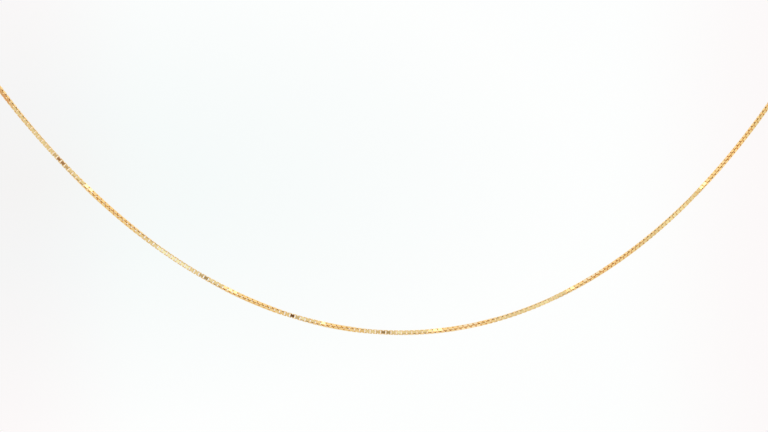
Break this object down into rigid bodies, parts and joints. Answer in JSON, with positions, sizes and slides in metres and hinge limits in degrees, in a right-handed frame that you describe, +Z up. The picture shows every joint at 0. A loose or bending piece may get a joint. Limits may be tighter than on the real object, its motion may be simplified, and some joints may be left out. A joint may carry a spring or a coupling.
{
  "type": "box chain necklace",
  "caption": "Fine square box chain necklace, a closed loop that hangs in a curve at the front and shuts with a spring ring clasp at the nape.",
  "frame": {"origin": "middle of the wearer's neck, halfway between the front and the back of the loop and level with the chain at the nape", "axes": "+X to the wearer's left, -Y to the front where the chain hangs free, +Z up"},
  "size_m": [0.1518, 0.0817, 0.0983],
  "materials": {
    "chain_gold": "polished yellow gold",
    "clasp_gold": "polished yellow gold"
  },
  "bodies": {
    "root": {"chain": "chain_gold", "jump_ring": "clasp_gold", "clasp": "clasp_gold", "end_ring": "clasp_gold"}
  },
  "joints": []
}
